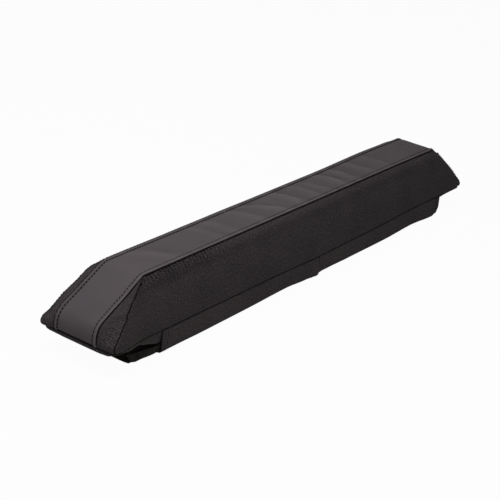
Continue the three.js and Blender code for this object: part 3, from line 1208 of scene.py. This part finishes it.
def make_camera():
    right = Vector((math.cos(CAMERA_AZIMUTH), math.sin(CAMERA_AZIMUTH), 0))
    tilt = math.cos(CAMERA_ELEVATION)
    back = Vector((
        math.sin(CAMERA_AZIMUTH) * tilt,
        -math.cos(CAMERA_AZIMUTH) * tilt,
        math.sin(CAMERA_ELEVATION),
    ))
    up = back.cross(right)
    turned_right = right * math.cos(CAMERA_ROLL) + up * math.sin(CAMERA_ROLL)
    turned_up = up * math.cos(CAMERA_ROLL) - right * math.sin(CAMERA_ROLL)
    data = bpy.data.cameras.new("camera")
    data.lens = CAMERA_LENS
    data.sensor_width = 36
    camera = bpy.data.objects.new("camera", data)
    bpy.context.scene.collection.objects.link(camera)
    turn = Matrix((turned_right, turned_up, back)).transposed().to_4x4()
    camera.matrix_world = Matrix.Translation(CAMERA_PLACE) @ turn
    bpy.context.scene.camera = camera


def soft_light(name, place, size, power):
    data = bpy.data.lights.new(name, "AREA")
    data.shape = "RECTANGLE"
    data.size, data.size_y = size
    data.energy = power
    lamp = bpy.data.objects.new(name, data)
    bpy.context.scene.collection.objects.link(lamp)
    lamp.location = place
    lamp.rotation_mode = "QUATERNION"
    lamp.rotation_quaternion = (Vector(place) - Vector((0, 0, 0.04))).to_track_quat("Z", "Y")


def seen_directly(tree):
    """1 for what the camera sees directly, in a mirror or through glass, and 0 for lighting."""
    path = tree.nodes.new("ShaderNodeLightPath")
    total = None
    for name in ("Is Camera Ray", "Is Glossy Ray", "Is Transmission Ray"):
        if total is None:
            total = path.outputs[name]
            continue
        add = tree.nodes.new("ShaderNodeMath")
        add.operation = "ADD"
        add.use_clamp = True
        tree.links.new(total, add.inputs[0])
        tree.links.new(path.outputs[name], add.inputs[1])
        total = add.outputs[0]
    return total


def mix_by_view(tree, share, lit, seen, output):
    """Goes from one shader, which lights the object, to another, which the camera sees."""
    mix = tree.nodes.new("ShaderNodeMixShader")
    for socket, source in zip(mix.inputs, (share, lit.outputs[0], seen.outputs[0])):
        tree.links.new(source, socket)
    tree.links.new(mix.outputs[0], tree.nodes.new(output).inputs[0])


def make_stage():
    world = bpy.data.worlds.new("studio")
    bpy.context.scene.world = world
    world.use_nodes = True
    tree = world.node_tree
    tree.nodes.clear()
    light = tree.nodes.new("ShaderNodeBackground")
    light.inputs[0].default_value = (0.95, 0.97, 1, 1)
    light.inputs[1].default_value = 0.2
    white = tree.nodes.new("ShaderNodeBackground")
    white.inputs[0].default_value = (1, 1, 1, 1)
    white.inputs[1].default_value = 1
    mix_by_view(tree, seen_directly(tree), light, white, "ShaderNodeOutputWorld")

    bm = bmesh.new()
    bmesh.ops.create_grid(bm, x_segments=1, y_segments=1, size=4)
    floor = new_object("floor", bm, make_floor_material())
    floor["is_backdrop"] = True


def make_floor_material():
    material = bpy.data.materials.new("floor_paper")
    material.use_nodes = True
    tree = material.node_tree
    tree.nodes.clear()
    paper = tree.nodes.new("ShaderNodeBsdfDiffuse")
    paper.inputs[0].default_value = (0.6, 0.6, 0.6, 1)
    glow = tree.nodes.new("ShaderNodeEmission")
    glow.inputs[1].default_value = 1
    share = tree.nodes.new("ShaderNodeMath")
    share.operation = "MULTIPLY"
    share.inputs[1].default_value = 0.965
    tree.links.new(seen_directly(tree), share.inputs[0])
    mix_by_view(tree, share.outputs[0], paper, glow, "ShaderNodeOutputMaterial")
    return material


def dress_node(node, material):
    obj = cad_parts[node]
    obj.data.materials.clear()
    obj.data.materials.append(material)


# The front flaps' bends, and the free edges of the rear flaps' lips, along the pad
FLAP_MARKS_LEFT = [
    (-299, 4, 0, 0.6), (-270, 4, 0, 0.6), (-228, 3, 0, 0.6), (-151, 3.5, 0, 0.6),
    (-55, 5, 0.4, 0.4), (-14, 2, 0, 1.2), (0, 2, 0, 3), (7, 2, 0, 4.2), (11, 2.5, 0.3, 3),
]
FLAP_MARKS_RIGHT = [
    (13, 3, 0.2, 1.4), (25, 4, 0.2, 0.9), (45, 4, 0, 0.8), (80, 3, 0, 0.9), (173, 2.5, 0, 1.1),
    (250, 5, 0.1, 0.3), (305, 2, 0, 2.3), (315, 4, 1.2, 1.8), (323, 5, 6, 0),
]
LEFT_LIP = [
    (-348, -40, 12.5), (-334, -41.5, 10.8), (-301, -45.3, 10.2), (-290, -44.6, 12),
    (280, -44.6, 12),
]
RIGHT_LIP = [(-36, -44.6, 12), (280, -44.6, 12)]

make_camera()
make_stage()
soft_light("overhead", (-0.42, 0.1, 1.1), (0.8, 0.8), 10.8)
soft_light("front", (-1.3, -1.4, 0.75), (0.8, 0.8), 7)

bpy.context.scene.view_settings.view_transform = "Standard"

strip = make_strip()
sides = [
    make_side(sign, f"sewn_{side}_side", f"{side}_side_panel")
    for sign, side in ((-1, "front"), (1, "rear"))
]
gussets = [
    make_gusset(end, sign, f"sewn_{side}_{end_name}_gusset", f"{side}_{end_name}_gusset")
    for sign, side in ((-1, "front"), (1, "rear"))
    for end, end_name in ((-1, "left"), (1, "right"))
]
front_flaps = [
    make_front_flap("front_flap_left", "front_left_wrap", FLAP_MARKS_LEFT,
                    [(2, 0, 3, -0.5), (-60, 0.4, 5, -0.5), (-150, -0.5, 7, 0.4)]),
    make_front_flap("front_flap_right", "front_right_wrap", FLAP_MARKS_RIGHT,
                    [(17, 0.1, 1.8, -0.4), (22, 0.1, 2.4, 0.6), (30, 0.3, 3, -0.4)]),
]
rear_flaps = [
    make_rear_flap("rear_flap_left", "rear_left_wrap", LEFT_LIP),
    make_rear_flap("rear_flap_right", "rear_right_wrap", RIGHT_LIP),
]
flap_ends = [
    (flap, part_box(node)[0].x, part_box(node)[1].x)
    for flap, node in zip(front_flaps, ("front_flap_left", "front_flap_right"))
]
stitching = make_threads(strip, sides, flap_ends)
pieces = [strip, *sides, *gussets, *front_flaps, *rear_flaps]
pieces += [make_foam(), make_binding(), make_facing(), stitching]
for piece in pieces:
    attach(piece, "root")

dress_node("base_panel", lining_cloth)
dress_node("grip_mat", grip_rubber)
for end in ("left", "right"):
    dress_node(f"hook_tape_{end}", hook_tape)
    dress_node(f"loop_tape_{end}", loop_tape)
    dress_node(f"bar_liner_{end}", lining_cloth)

[[list(corner) for corner in box] for box in (cad_bounds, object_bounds())]
